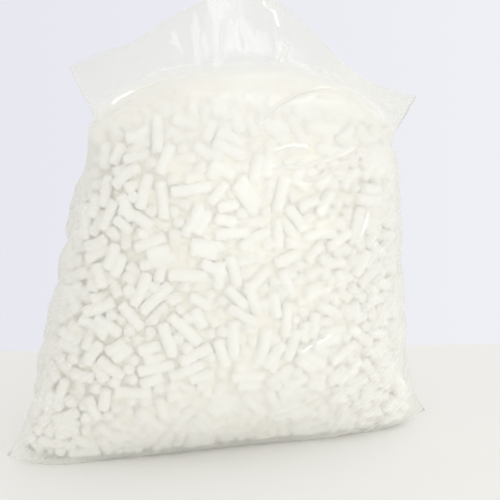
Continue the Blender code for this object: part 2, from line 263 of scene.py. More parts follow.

# Studio
# The wall's colours at its left and right, with painted shade: darker to the left
wall_left, wall_right = (0.800, 0.805, 0.870), (0.860, 0.872, 0.920)
wall_shade_fade = 2.3
table_colour = (0.94, 0.937, 0.920)
table_edge, table_edge_turn, table_edge_blur = 0.340, 2.0, 0.006
world_colour = (1.0, 0.99, 0.97, 1)
world_strength = 0.85
lamps = (
    ("top_softbox", (0.6, 0.4, 1.9), (1.4, 1.0), 2, (0, 0, 0.2)),
    ("front_softbox", (0.9, -3.4, 0.8), (3.4, 1.4), 25, (0, 0, 0.05)),
)

# Long creases of the front film, as lines in the photograph's pixels, and the strength of each. Neighbours
# run opposite ways, so that the film between them lies on the same side of both. Each is a raised fold
# with a real gloss and a painted highlight of milk along it.
crown_fold = ((254, 130), (266, 118), (282, 104), (300, 94), (322, 89), (347, 88))
shoulder_crease = ((266, 167), (290, 167), (310, 165), (334, 158), (352, 149), (366, 141))
chest_crease = ((384, 140), (364, 153), (345, 165), (322, 177), (296, 184))
upper_crease = ((312, 148), (292, 146), (272, 152))
belly_streak = ((299, 352), (314, 344), (334, 332))
brim = ((108, 110), (118, 101), (130, 94), (146, 88), (168, 80), (196, 74))
side_streak = ((371, 205), (362, 232), (350, 262))
flap_fold_high = ((262, 0), (275, 10), (281, 30))
flap_fold_low = ((290, 40), (284, 52), (283, 65))
long_creases = (
    (crown_fold, 1.0), (shoulder_crease, 1.0), (chest_crease, 0.9), (upper_crease, 0.5), (belly_streak, 0.8),
    (brim, 0.8), (side_streak, 0.5), (flap_fold_high, 0.9), (flap_fold_low, 0.9),
)

STATION_FIELDS = (
    "middle_z", "left_z", "right_z", "left_x", "right_x", "front_y", "back_y",
    "middle_y", "left_y", "right_y", "level", "fullness", "peak",
)


def station(middle_z, folds_z, folds_x, bulges, lean, level=body_level, fullness=1.0, peak=0.0):
    """One cross section, in the order of STATION_FIELDS.

    It has the heights of its middle and of both side folds, the folds' distances from the middle, the
    front's and back's distances from the mid surface, that surface's place at the middle and at the
    folds, how much of the width is level, how full it is towards its folds, and how peaked on top.
    """
    return (middle_z, *folds_z, -folds_x[0], folds_x[1], *bulges, *lean, level, fullness, peak)


def stations():
    """The bag's cross sections from the bottom seal to the mouth."""
    turn = np.array([0, sole_turn_left, sole_turn_right])

    def above_ear(rise):
        return ear_height + rise, ear_height + rise

    def drawn_in(inset):
        return ear_left - inset, ear_right - inset * right_inset_share

    thigh_height = (belly_height + ear_height) * thigh_share
    thigh = (
        belly_left + (ear_left - belly_left) * thigh_draw_left,
        belly_right + (ear_right - belly_right) * thigh_draw_right,
    )
    chest_height = belly_height + (shoulder_height - belly_height) * chest_share
    chest = (
        belly_left + (shoulder_left - belly_left) * chest_draw_left,
        belly_right + (shoulder_right - belly_right) * chest_draw_right,
    )
    chest_front = belly_front + (shoulder_front - belly_front) * chest_bulge_share
    chest_back = belly_back + (shoulder_back - belly_back) * chest_bulge_share
    neck_height = shoulder_height + (crown_height - shoulder_height) * neck_share
    folds = np.array([crown_height - crown_fold_drop_left, crown_height - crown_fold_drop_right])
    flap_folds = np.array([flap_left_height, flap_right_height])
    crown_lean = np.array([0, crown_lean_left, crown_lean_right])
    flap_lean = np.array([0, flap_lean_back, -flap_fall_forward])
    lips = (layer_half_gap, layer_half_gap)
    return np.array([
        station(0, above_ear(0), drawn_in(0), (0, 0), turn, level=seal_level),
        station(0, above_ear(rim_rise), drawn_in(rim_inset), (sole_front, sole_back), turn,
                level=rim_level, fullness=rim_fullness),
        station(heel_height, above_ear(heel_rise), drawn_in(heel_inset),
                (belly_front * heel_share_front, belly_back * heel_share_back), turn,
                level=heel_level, fullness=heel_fullness),
        station(hip_height, above_ear(hip_rise), drawn_in(hip_inset),
                (belly_front * hip_share_front, belly_back * hip_share_back), turn * hip_turn_share,
                level=hip_level, fullness=hip_fullness),
        station(thigh_height, (thigh_height + thigh_fold_lift, thigh_height + thigh_fold_lift), thigh,
                (belly_front * thigh_share_front, belly_back * thigh_share_back), turn * thigh_turn_share,
                level=thigh_level, fullness=thigh_fullness),
        station(belly_height, (belly_height, belly_height), (belly_left, belly_right),
                (belly_front, belly_back), turn * 0),
        station(chest_height, (chest_height - chest_fold_drop_left, chest_height - chest_fold_drop_right),
                chest, (chest_front, chest_back), turn * 0),
        station(shoulder_height,
                (shoulder_height - shoulder_fold_drop_left, shoulder_height - shoulder_fold_drop_right),
                (shoulder_left, shoulder_right), (shoulder_front, shoulder_back),
                crown_lean * shoulder_lean_share),
        station(neck_height, folds - neck_fold_drop,
                ((shoulder_left + crown_left) / 2, shoulder_right - neck_inset),
                (shoulder_front * neck_share_of_shoulder, shoulder_back * neck_share_of_shoulder),
                crown_lean * neck_lean_share),
        station(crown_height, folds, (crown_left, crown_right), (crown_half_gap, crown_half_gap), crown_lean,
                fullness=crown_fullness, peak=crown_peak),
        station(crown_height + flap_rise * flap_bend_share, (folds + flap_folds) / 2,
                ((crown_left + flap_left) / 2, (crown_right + flap_right) / 2), lips,
                flap_lean * flap_bend_lean_share + (flap_bend_set_back, 0, 0),
                level=bend_level, fullness=flap_fullness, peak=bend_peak),
        station(crown_height + flap_rise, flap_folds, (flap_left, flap_right), lips,
                flap_lean + (mouth_set_back, 0, 0), level=0, fullness=flap_fullness, peak=1),
    ], float)


def through(points, places, at):
    """A smooth curve through the points, which stand at the given places along it, read at others."""
    slopes = np.gradient(points, places, axis=0)
    k = np.clip(np.searchsorted(places, at, side="right") - 1, 0, len(places) - 2)
    span = (places[k + 1] - places[k])[:, None]
    t = (at - places[k])[:, None] / span
    return (
        (2 * t**3 - 3 * t**2 + 1) * points[k] + (t**3 - 2 * t**2 + t) * span * slopes[k]
        + (3 * t**2 - 2 * t**3) * points[k + 1] + (t**3 - t**2) * span * slopes[k + 1]
    )


def section(row, columns, side):
    """One cross section's points from the left fold to the right one, evenly spaced along the film."""
    s = dict(zip(STATION_FIELDS, row))
    turn = np.linspace(np.pi, 0, section_steps)
    across = np.cos(turn)
    depth = np.sin(turn) ** s["fullness"]
    outward = -s["front_y"] if side < 0 else s["back_y"]
    half = (s["right_x"] - s["left_x"]) / 2
    x = (s["right_x"] + s["left_x"]) / 2 + half * across
    fold_z = np.where(across < 0, s["left_z"], s["right_z"])
    fold_y = np.where(across < 0, s["left_y"], s["right_y"])
    level = np.clip(s["level"], 0, 0.9)
    round_off = (np.clip(np.abs(across) - level, 0, 1) / (1 - level)) ** fall_power
    bell = np.where(across < 0, np.abs(across) ** peak_power, 0.5 - 0.5 * np.cos(np.pi * across))
    share = round_off + (bell - round_off) * np.clip(s["peak"], 0, 1)
    z = np.maximum(s["middle_z"] + (fold_z - s["middle_z"]) * share, 0)
    lean = s["middle_y"] + (fold_y - s["middle_y"]) * np.abs(across) ** lean_power
    y = lean + outward * depth
    points = np.stack([x, y, z], 1)
    step = np.linalg.norm(np.diff(np.stack([x, outward * depth], 1), axis=0), axis=1)
    run = np.concatenate([[0], np.cumsum(step)])
    at = np.linspace(0, run[-1], columns + 1)
    return np.stack([np.interp(at, run, points[:, k]) for k in range(3)], 1)


def bag_loft(rows, columns):
    """The smooth bag: front and back grids of points from the bottom seal to the mouth."""
    table = stations()
    profile = np.stack([table[:, 5], table[:, 0]], 1)
    places = np.concatenate([[0], np.cumsum(np.linalg.norm(np.diff(profile, axis=0), axis=1))])
    at = np.linspace(0, places[-1], rows + 1)
    drawn = through(table, places, at)
    drawn[at <= places[1], 0] = 0
    drawn[:, 5:7] = np.maximum(drawn[:, 5:7], 0)
    shift = np.array([middle_x, middle_y, 0])
    return [np.stack([section(r, columns, side) for r in drawn]) + shift for side in (-1, 1)]


def normals_of(grid, side):
    n = np.cross(np.gradient(grid, axis=1), np.gradient(grid, axis=0)) * -side
    length = np.linalg.norm(n, axis=2, keepdims=True)
    n = np.where(length > 1e-12, n / np.maximum(length, 1e-12), np.array([0, 0, -1.0]))
    return n


def ring_of(front, back):
    """Both sides as one closed ring of columns: the front from left to right, then the back."""
    return np.concatenate([front, back[:, -2:0:-1]], axis=1)


def smooth_noise(shape, scales, rng):
    """Seeded noise on a grid, smoothed over a number of cells in each direction."""
    field = rng.normal(size=shape)
    for axis, width in enumerate(scales):
        for _ in range(3):
            reach = int(width)
            if reach > 0:
                kernel = np.ones(2 * reach + 1) / (2 * reach + 1)
                mode = "wrap" if axis == 1 else "edge"
                padding = [(0, 0)] * 2
                padding[axis] = (reach, reach)
                padded = np.pad(field, padding, mode=mode)
                field = np.apply_along_axis(lambda a: np.convolve(a, kernel, "valid"), axis, padded)
    return field / (np.abs(field).max() + 1e-12)


def spread(share, low, high):
    """0 below low, 1 above high, and a smooth rise between them."""
    t = np.clip((share - low) / (high - low), 0, 1)
    return t * t * (3 - 2 * t)


def crease_plan(rows, columns):
    """How much longer than the smooth form the film is across its creases, and the creases' slope.

    Both are ring grids. The spare length is greatest beside the side folds, over the right ear and in
    the slack flap; the slope is an angle from the horizontal as seen from the front.
    """
    up = np.linspace(0, 1, rows + 1)[:, None]
    turn = np.arange(2 * columns)[None, :]
    front = turn <= columns
    across = np.where(front, turn, 2 * columns - turn) / columns
    body = 1 - spread(up, *body_end)
    left = 1 - spread(across, *left_end)
    right = spread(across, *right_start)
    low_right = spread(across, *ear_start) * (1 - spread(up, *ear_top))
    crown = spread(up, *crown_start) * (1 - spread(up, *crown_end))
    flap = spread(up, *flap_start)
    spare = body * (fold_spare * left + fold_spare * right + ear_spare * low_right)
    spare = spare + crown_spare * crown + flap_spare * flap + least_spare
    slope = left_slope * left + right_slope * (1 - left)
    slope = slope + (crown_slope - right_slope) * crown * (1 - left) + flap_slope * flap
    return spare, np.radians(np.where(front, slope, -slope))


def stretch(points, di, dj, rest, share):
    """Moves both ends of every edge in one direction of the ring grid towards its rest length."""
    rows, around = points.shape[:2]
    for parity in (0, 1):
        if dj:
            j = np.arange(parity, around, 2)
            i = np.arange(0, rows - di)
        else:
            j = np.arange(around)
            i = np.arange(parity, rows - di, 2)
        a = np.ix_(i, j)
        b = np.ix_(i + di, (j + dj) % around)
        gap = points[b] - points[a]
        length = np.linalg.norm(gap, axis=2, keepdims=True)
        move = gap * (0.5 * share * (1 - rest[a][:, :, None] / np.maximum(length, 1e-9)))
        points[a] += move
        points[b] -= move


def bends(points):
    """The way from each point of a ring grid to the middle of its neighbours, in its row and column."""
    across = (np.roll(points, 1, axis=1) + np.roll(points, -1, axis=1)) / 2 - points
    along = np.zeros_like(points)
    along[1:-1] = (points[2:] + points[:-2]) / 2 - points[1:-1]
    return across, along


def straighten(points, share):
    """Takes part of the bend, its share of each row, out of the ring grid along its rows and columns."""
    across, along = bends(points)
    bend = across + along
    spread_bend = (np.roll(bend, 1, axis=1) + np.roll(bend, -1, axis=1)) / 2
    spread_bend[1:-1] += (bend[2:] + bend[:-2]) / 2
    spread_bend[[0, -1]] *= 2
    points += share * (bend - spread_bend / 2)


def seal_bottom(points, columns):
    """Brings the front and the back of the film's first row together as the bottom seal."""
    front = points[0, 1:columns]
    back = points[0, :columns:-1]
    seam = (front + back) / 2
    points[0, 1:columns] = seam
    points[0, :columns:-1] = seam


def refined(points):
    """The ring grid with twice as many cells each way."""
    around = (points + np.roll(points, -1, axis=1)) / 2
    wide = np.stack([points, around], axis=2).reshape(points.shape[0], -1, 3)
    between = (wide[1:] + wide[:-1]) / 2
    tall = np.empty((2 * wide.shape[0] - 1,) + wide.shape[1:])
    tall[0::2] = wide
    tall[1::2] = between
    return tall


def rest_lengths(smooth, columns, rows):
    """The film's own edge lengths in four directions: the smooth form's, with the spare length added."""
    spare, slope = crease_plan(rows, columns)
    cross_x, cross_z = -np.sin(slope), np.cos(slope)
    facing = np.where(np.arange(2 * columns) < columns, 1.0, -1.0)[None, :]
    made = {}
    for di, dj in ((0, 1), (1, 0), (1, 1), (1, -1)):
        there = np.roll(smooth, -dj, axis=1)
        if di:
            there = np.concatenate([there[1:], there[-1:]])
        length = np.linalg.norm(there - smooth, axis=2)
        cells = math.hypot(di, dj)
        step_x, step_z = facing * dj / cells, di / cells
        made[di, dj] = length * np.sqrt(1 + 2 * spare * (cross_x * step_x + cross_z * step_z) ** 2)
    return made


def waved(points, rng):
    """Gives the slack flap its soft waves, the same on both of its layers, and the dip in its edge."""
    rows, around = points.shape[:2]
    turn = np.arange(around)
    partner = np.minimum(turn, around - turn)
    up = np.linspace(0, 1, rows)[:, None]
    across = partner[None, :] / (around // 2)
    wave = smooth_noise((rows, around), wave_reach, rng)[:, partner]
    points[:, :, 1] += wave_height * spread(up, *wave_start) * wave
    dip = np.exp(-(((across - dip_place) / dip_width) ** 2))
    points[:, :, 2] -= dip_depth * spread(up, *dip_start) * dip
    return points


def crumpled_film():
    """The film eased over its form until the spare length buckles into gathers, as a ring grid."""
    rng = np.random.default_rng(seed)
    halvings = len(film_stiffness) - 1
    rows, columns = film_rows >> halvings, film_columns >> halvings
    points = None
    for stiffness in film_stiffness:
        front, back = bag_loft(rows, columns)
        smooth = ring_of(front, back)
        outward = ring_of(normals_of(front, -1), normals_of(back, 1))
        rest = rest_lengths(smooth, columns, rows)
        spare, _ = crease_plan(rows, columns)
        up = np.linspace(0, 1, rows + 1)[:, None]
        slack = spread(up, *slack_start)
        stiff = stiffness * (1 + (slack_stiffness - 1) * spread(up[:, :, None], *stiff_start))
        inner = -film_sink - slack_room * slack
        outer = film_rise + gather_room * spare + slack_room * slack
        noise = smooth_noise(smooth.shape[:2], stir_reach, rng)
        start = smooth if points is None else refined(points)
        points = start + outward * (noise * first_stir * (spare > stirred_spare))[:, :, None]
        for _ in range(film_steps):
            for (di, dj), length in rest.items():
                stretch(points, di, dj, length, edge_pull)
            straighten(points, stiff)
            points += (smooth - points) * form_pull
            proud = ((points - smooth) * outward).sum(2)
            points += outward * (np.clip(proud, inner, outer) - proud)[:, :, None]
            points[:, :, 2] = np.maximum(points[:, :, 2], 0)
            seal_bottom(points, columns)
        rows, columns = rows * 2, columns * 2
    across = bends(points)[0]
    across[:, [0, film_columns]] = 0
    points += across * smoothed_share
    points += bends(points)[1] * smoothed_share
    return waved(points, rng)


def ring_faces(rows, around):
    """The four-cornered faces of a ring grid with so many cells from end to end and around."""
    i, j = np.meshgrid(np.arange(rows), np.arange(around), indexing="ij")
    here = i * around + j
    beside = i * around + (j + 1) % around
    return np.stack([here, beside, beside + around, here + around], -1).reshape(-1, 4)


def mesh_object(name, points, faces, shades):
    """A smooth-shaded mesh in the scene, with the given values at its points as attributes."""
    mesh = bpy.data.meshes.new(name)
    points = np.asarray(points, np.float32).reshape(-1, 3)
    faces = np.asarray(faces, np.int32)
    mesh.vertices.add(len(points))
    mesh.vertices.foreach_set("co", points.ravel())
    corners = faces.shape[1]
    mesh.loops.add(faces.size)
    mesh.loops.foreach_set("vertex_index", faces.ravel())
    mesh.polygons.add(len(faces))
    mesh.polygons.foreach_set("loop_start", np.arange(0, faces.size, corners, dtype=np.int32))
    mesh.polygons.foreach_set("use_smooth", np.ones(len(faces), bool))
    mesh.update(calc_edges=True)
    mesh.validate()
    for shade, values in shades.items():
        made = mesh.attributes.new(shade, "FLOAT", "POINT")
        made.data.foreach_set("value", values.ravel().astype(np.float32))
    obj = bpy.data.objects.new(name, mesh)
    bpy.context.scene.collection.objects.link(obj)
    return obj


def film_object(points, shades):
    """The film's mesh, closed along the bottom seal."""
    rows, around = points.shape[:2]
    bag = mesh_object("film_bag_skin", points, ring_faces(rows - 1, around), shades)
    tidy = bmesh.new()
    tidy.from_mesh(bag.data)
    bmesh.ops.remove_doubles(tidy, verts=[v for v in tidy.verts if v.index < around], dist=1e-6)
    bmesh.ops.recalc_face_normals(tidy, faces=tidy.faces)
    tidy.to_mesh(bag.data)
    tidy.free()
    return bag


def grid_spots(shape):
    """Every spot of a grid, as its numbers along each axis."""
    return np.stack(np.meshgrid(*[np.arange(n) for n in shape], indexing="ij"), -1).reshape(-1, 3)


class Depth:
    """How deep a point lies inside the bag or the heap, read from a grid that is made once."""

    def __init__(self):
        ring = ring_of(*bag_loft(form_rows, form_columns))
        flat_ring = ring.reshape(-1, 3)
        faces = ring_faces(form_rows, ring.shape[1]).tolist()
        tree = BVHTree.FromPolygons([Vector(p) for p in flat_ring], faces)
        self.low = flat_ring.min(axis=0) - 2 * depth_cell
        high = flat_ring.max(axis=0) + 2 * depth_cell
        self.shape = np.ceil((high - self.low) / depth_cell).astype(int) + 1
        flat = grid_spots(self.shape) * depth_cell + self.low
        depth = np.empty(len(flat))
        forwards, backwards = Vector((0, -1, 0)), Vector((0, 1, 0))
        for k, row in enumerate(flat):
            spot = Vector(row)
            far = tree.find_nearest(spot)[3]
            within = tree.ray_cast(spot, forwards)[0] and tree.ray_cast(spot, backwards)[0]
            depth[k] = far if within else -far
        under_heap = (heap_surface(flat) - flat[:, 2]) * heap_steepness
        self.film = depth.reshape(self.shape)
        self.field = np.minimum(depth, under_heap).reshape(self.shape)
        slope = np.stack(np.gradient(self.field, depth_cell), -1)
        self.slope = slope / np.maximum(np.linalg.norm(slope, axis=-1, keepdims=True), 1e-6)

    def read(self, field, points):
        """A field's values at points, blended between the eight spots of the grid round each."""
        last_cell = np.array(self.shape) - 1.001
        at = np.clip((points - self.low) / depth_cell, 0, last_cell)
        base = at.astype(int)
        t = at - base
        total = 0
        for dx, dy, dz in grid_spots((2, 2, 2)):
            share = (
                (t[:, 0] if dx else 1 - t[:, 0]) * (t[:, 1] if dy else 1 - t[:, 1])
                * (t[:, 2] if dz else 1 - t[:, 2])
            )
            value = field[base[:, 0] + dx, base[:, 1] + dy, base[:, 2] + dz]
            total = total + (share if value.ndim == 1 else share[:, None]) * value
        return total


def heap_surface(spot):
    """The height of the heap's top under each point: a low dome."""
    middle = (crown_right - crown_left) / 2 + middle_x
    across = (spot[:, 0] - middle) / ((crown_right + crown_left) / 2)
    heap_y = middle_y + (shoulder_back - shoulder_front) / 2
    deep = (spot[:, 1] - heap_y) / ((shoulder_front + shoulder_back) / 2)
    return heap_height - heap_drop_across * across**2 - heap_drop_deep * deep**2


def near_pairs(points, reach):
    """Every pair of points closer than reach, found by sorting the points into cells."""
    cells = np.floor((points - points.min(axis=0)) / reach).astype(np.int64) + 1
    span = cells.max(axis=0) + 2
    keys = (cells[:, 0] * span[1] + cells[:, 1]) * span[2] + cells[:, 2]
    order = np.argsort(keys, kind="stable")
    ordered = keys[order]
    firsts, seconds = [], []
    for dx, dy, dz in grid_spots((3, 3, 3)) - 1:
        jump = (dx * span[1] + dy) * span[2] + dz
        if jump < 0:
            continue
        start = np.searchsorted(ordered, ordered + jump, "left")
        stop = np.searchsorted(ordered, ordered + jump, "right")
        if jump == 0:
            start = np.arange(len(ordered)) + 1
        count = np.maximum(stop - start, 0)
        first = np.repeat(np.arange(len(ordered)), count)
        run = np.arange(count.sum()) - np.repeat(np.cumsum(count) - count, count)
        firsts.append(order[first])
        seconds.append(order[np.repeat(start, count) + run])
    first, second = np.concatenate(firsts), np.concatenate(seconds)
    close = np.linalg.norm(points[first] - points[second], axis=1) < reach
    return first[close], second[close]


def nearest_on_rods(rod, other):
    """How far along each of two rods, from 0 to 1, they come nearest each other, for pairs of rods."""
    along, across = rod[:, 1] - rod[:, 0], other[:, 1] - other[:, 0]
    between = rod[:, 0] - other[:, 0]
    along_square, across_square = (along**2).sum(1), (across**2).sum(1)
    mixed = (along * across).sum(1)
    on_rod, on_other = (along * between).sum(1), (across * between).sum(1)
    spread_out = np.maximum(along_square * across_square - mixed**2, 1e-12)
    share = np.clip((mixed * on_other - across_square * on_rod) / spread_out, 0, 1)
    other_share = np.clip((mixed * share + on_other) / across_square, 0, 1)
    share = np.clip((mixed * other_share - on_rod) / along_square, 0, 1)
    return share[:, None], other_share[:, None]


def unit(ways):
    return ways / np.linalg.norm(ways, axis=1, keepdims=True)


def push_apart(ends, first, second, thick):
    """Moves the ends of each overlapping pair of rods by a share of how far they overlap."""
    share, other_share = nearest_on_rods(ends[first], ends[second])
    gap = ends[first, 0] * (1 - share) + ends[first, 1] * share
    gap -= ends[second, 0] * (1 - other_share) + ends[second, 1] * other_share
    far = np.maximum(np.linalg.norm(gap, axis=1, keepdims=True), 1e-6)
    push = gap * np.clip(thick / far - 1, 0, 1) * push_share
    for rods, at, sense in ((first, share, 1), (second, other_share, -1)):
        move = push * sense / ((1 - at) ** 2 + at**2)
        for end, part in ((0, 1 - at), (1, at)):
            for axis in range(3):
                ends[:, end, axis] += np.bincount(rods, (move * part)[:, axis], len(ends))


def settled(ends, depth):
    """The rods' ends brought back under the film and into the outer layers, a little nearer the film."""
    points = ends.reshape(-1, 3)
    inside = depth.read(depth.field, points)
    lift = np.clip(peanut_radius + film_room - inside, 0, None) - np.clip(inside - pack_depth, 0, None)
    near_film = (inside < 3 * peanut_radius) * (inside > peanut_radius + film_room)
    move = (lift - settle_step * near_film)[:, None]
    return (points + depth.read(depth.slope, points) * move).reshape(-1, 2, 3)


def packed_peanuts(depth, rng):
    """The peanuts' centre lines, three points each, after they have pushed each other apart as rods."""
    spots = grid_spots(depth.shape)
    field = depth.field.reshape(-1)
    room = spots[(field > peanut_radius) & (field < pack_depth)]
    start = room[rng.choice(len(room), peanut_count)] + rng.uniform(-0.5, 0.5, (peanut_count, 3))
    middle = start * depth_cell + depth.low
    way = rng.normal(size=(peanut_count, 3))
    inward = depth.read(depth.slope, middle)
    way -= inward * (way * inward).sum(1, keepdims=True) * rng.uniform(0.0, 1.0, (peanut_count, 1))
    way = unit(way)
    half = rng.uniform(peanut_short, peanut_long, (peanut_count, 1)) / 2 - peanut_radius * peanut_dome
    ends = np.stack([middle - way * half, middle + way * half], 1)
    thick = 2 * peanut_radius * peanut_squash
    for step in range(pack_steps):
        if step % neighbour_steps == 0:
            first, second = near_pairs(ends.mean(axis=1), 2 * half.max() + thick)
        push_apart(ends, first, second, thick)
        middle = ends.mean(axis=1)
        way = unit(ends[:, 1] - ends[:, 0])
        ends = settled(np.stack([middle - way * half, middle + way * half], 1), depth)
    middle = ends.mean(axis=1)
    bow = unit(np.cross(way, rng.normal(size=(peanut_count, 3))))
    bow *= half * np.abs(rng.normal(0, peanut_bow, (peanut_count, 1)))
    bow *= np.where((bow * depth.read(depth.slope, middle)).sum(1, keepdims=True) < 0, -1, 1)
    lines = np.stack([ends[:, 0], middle + bow, ends[:, 1]], 1)
    kept = depth.read(depth.film, lines.reshape(-1, 3)) > least_cover * peanut_radius
    return lines[kept.reshape(-1, 3).all(axis=1)]


def peanut_points(lines, rng):
    """Each peanut's points: its low end, its rings from there on, and its high end."""
    cap = np.array([0.96, 0.80, 0.45, 0.0])
    cap_width = (1 - cap**3) ** (1 / 3)
    along = np.repeat([-1.0, 0.0, 1.0], [len(cap), 1, len(cap)])
    beyond = np.concatenate([-cap, [0.0], cap[::-1]]) * peanut_dome
    width = np.concatenate([cap_width, [1.0], cap_width[::-1]])
    turn = np.arange(peanut_sides) * 2 * np.pi / peanut_sides
    count = len(lines)
    a, b, c = lines[:, 0], lines[:, 1], lines[:, 2]
    length = np.linalg.norm(c - a, axis=1, keepdims=True)
    axis = (c - a) / length
    side = unit(np.cross(axis, rng.normal(size=axis.shape)))
    other = np.cross(axis, side)
    thick = peanut_radius * rng.uniform(peanut_thinnest, peanut_thickest, count)[:, None]
    middle = (a + c) / 2
    bow = b - middle
    wobble = rng.uniform(0, 2 * np.pi, (count, 3))
    rings = []
    for k, there in enumerate(along):
        centre = middle + axis * (there * length / 2 + beyond[k] * thick) + bow * (1 - there**2)
        uneven = 1 + oval_share * np.sin(2 * turn[None] + wobble[:, :1])
        uneven = uneven + lump_share * np.sin(lump_turn * there + wobble[:, 1:2])
        uneven = uneven + corner_share * np.sin(3 * turn[None] + wobble[:, 2:] + there)
        radius = (thick * width[k]) * uneven
        rings.append(
            centre[:, None] + side[:, None] * (radius * np.cos(turn))[:, :, None]
            + other[:, None] * (radius * np.sin(turn))[:, :, None]
        )
    reach = axis * (length / 2 + thick * peanut_dome)
    rings = np.stack(rings, 1).reshape(count, -1, 3)
    return np.concatenate([(middle - reach)[:, None], rings, (middle + reach)[:, None]], 1)


def peanut_faces(points_each):
    """The triangles of one peanut with so many points."""
    rings = (points_each - 2) // peanut_sides
    quads = 1 + ring_faces(rings - 1, peanut_sides)
    here = np.arange(peanut_sides)
    beside = (here + 1) % peanut_sides
    last = 1 + (rings - 1) * peanut_sides
    low = np.stack([np.zeros_like(here), 1 + beside, 1 + here], -1)
    high = np.stack([np.full_like(here, points_each - 1), last + here, last + beside], -1)
    return np.concatenate([quads[:, [0, 1, 2]], quads[:, [0, 2, 3]], low, high])


def peanut_pieces(lines, depth, rng):
    """Meshes of the peanuts: blunt-ended rods round their centre lines, in a few groups by direction."""
    points = peanut_points(lines, rng)
    each = points.shape[1]
    faces = peanut_faces(each)
    tone = np.repeat(rng.normal(0, 1, (len(lines), 1)), each, axis=1)
    # deep: how far under the film each point lies, which sets the painted shade of the heap's gaps
    deep = spread(depth.read(depth.film, points.reshape(-1, 3)), painted_shade_from, painted_shade_to).reshape(-1, each)
    turn = np.arctan2(lines[:, 1, 1], lines[:, 1, 0]) / (2 * np.pi) + 0.5
    sector = np.floor(turn * peanut_groups).astype(int) % peanut_groups
    made = []
    for group in range(peanut_groups):
        chosen = np.flatnonzero(sector == group)
        offset = np.arange(len(chosen))[:, None, None] * each
        shades = {"tone": tone[chosen], "deep": deep[chosen]}
        group_faces = (faces[None] + offset).reshape(-1, 3)
        made.append(mesh_object(f"peanuts_{group + 1}", points[chosen], group_faces, shades))
    return made


def heap_core():
    """The middle of the heap, which closes the gaps between the outer peanuts."""
    front, back = bag_loft(core_rows, core_columns)
    middle = (front + back) / 2
    half = np.maximum(np.abs(front - back)[:, :, 1:2] / 2, 1e-6)
    shrink = np.clip(1 - core_depth / half, least_core_share, 1)
    ring = ring_of(middle + (front - middle) * shrink, middle + (back - middle) * shrink)
    ring[:, :, 0] = middle_x + (ring[:, :, 0] - middle_x) * core_side_share
    top = int(np.argmax(ring[:, core_columns // 2, 2] > heap_height)) + 1
    ring = ring[: top + 1]
    flat = ring.reshape(-1, 3)
    flat[:, 2] = np.clip(flat[:, 2], core_depth * core_base_share, heap_surface(flat) - core_depth)
    around = ring.shape[1]
    j = np.arange(core_columns)
    lid = top * around + np.stack([j, j + 1, around - j - 1, (around - j) % around], -1)
    faces = np.concatenate([ring_faces(top, around), lid])
    # The core is painted all over in the heap's deep shade colour
    core = mesh_object("peanut_core", flat, faces, {"deep": np.ones(len(flat))})
    tidy = bmesh.new()
    tidy.from_mesh(core.data)
    bmesh.ops.remove_doubles(tidy, verts=tidy.verts, dist=1e-5)
    bmesh.ops.dissolve_degenerate(tidy, edges=tidy.edges, dist=1e-6)
    bmesh.ops.recalc_face_normals(tidy, faces=tidy.faces)
    tidy.to_mesh(core.data)
    tidy.free()
    return core


class Graph:
    """The nodes of a material or of the world."""

    def __init__(self, owner):
        owner.use_nodes = True
        self.nodes, self.links = owner.node_tree.nodes, owner.node_tree.links
        self.nodes.clear()

    def feed(self, slot, value):
        """Gives an input a plain value, or links it to another node's output."""
        if isinstance(value, bpy.types.NodeSocket):
            self.links.new(value, slot)
        else:
            slot.default_value = value

    def add(self, kind, **values):
        """A new node, with values for its inputs and for its other settings."""
        made = self.nodes.new(kind)
        for key, value in values.items():
            if key in made.inputs:
                self.feed(made.inputs[key], value)
            else:
                setattr(made, key, value)
        return made

    def maths(self, operation, *values, clamp=False):
        made = self.add("ShaderNodeMath", operation=operation, use_clamp=clamp)
        for slot, value in zip(made.inputs, values):
            self.feed(slot, value)
        return made.outputs[0]

    def noise(self, place, **values):
        return self.add("ShaderNodeTexNoise", Vector=place, **values).outputs["Fac"]

    def shade(self, name):
        """The mesh's own value of that name."""
        return self.add("ShaderNodeAttribute", attribute_name=name).outputs["Fac"]

    def colours(self, share, first, second):
        """A share of the way from one colour to another."""
        made = self.add("ShaderNodeMix", data_type="RGBA")
        for slot, value in ((0, share), (6, first), (7, second)):
            self.feed(made.inputs[slot], value)
        return made.outputs[2]

    def blend(self, share, first, second):
        """A share of the way from one shader to another."""
        made = self.add("ShaderNodeMixShader")
        for slot, value in zip(made.inputs, (share, first, second)):
            self.feed(slot, value)
        return made.outputs[0]


def streaks(graph, place, slope, along, across):
    """Thin wavy lines at a slope in the bag's front plane, where a stretched noise passes its middle."""
    turned = graph.add("ShaderNodeMapping", Vector=place, Rotation=(0, math.radians(slope), 0))
    scale = (along, across / 3, across)
    drawn = graph.add("ShaderNodeMapping", Vector=turned.outputs["Vector"], Scale=scale)
    noise = graph.noise(drawn.outputs["Vector"], Scale=1.0, Detail=2.5, Roughness=0.5, Distortion=0.4)
    off = graph.maths("ABSOLUTE", graph.maths("SUBTRACT", noise, 0.5))
    return graph.maths("SUBTRACT", 1.0, graph.maths("MULTIPLY", off, streak_sharpness), clamp=True)


def fine_creases(graph, place):
    """The film's fine creases: wide streaks wherever it is drawn in, and finer ones there in patches."""
    wide = streaks(graph, place, 52, 7.0, 34.0)
    fine = streaks(graph, place, 40, 12.0, 70.0)
    patches = graph.noise(place, Scale=14.0, Detail=1.0)
    here = graph.maths("MULTIPLY", graph.maths("SUBTRACT", patches, 0.42), 5.0, clamp=True)
    lines = graph.maths("MAXIMUM", wide, graph.maths("MULTIPLY", fine, here))
    lines = graph.maths("MULTIPLY", lines, graph.shade("creased"))
    return graph.maths("MULTIPLY", lines, fine_crease_share)


def long_ridges(graph):
    """The height of the long creases, from 0 beside them to their strength along them."""
    nearby = graph.maths("DIVIDE", graph.maths("ABSOLUTE", graph.shade("crease_off")), crease_width)
    ridge = graph.maths("SUBTRACT", 1.0, nearby, clamp=True)
    return graph.maths("MULTIPLY", graph.maths("POWER", ridge, 1.5), graph.shade("crease_strength"))


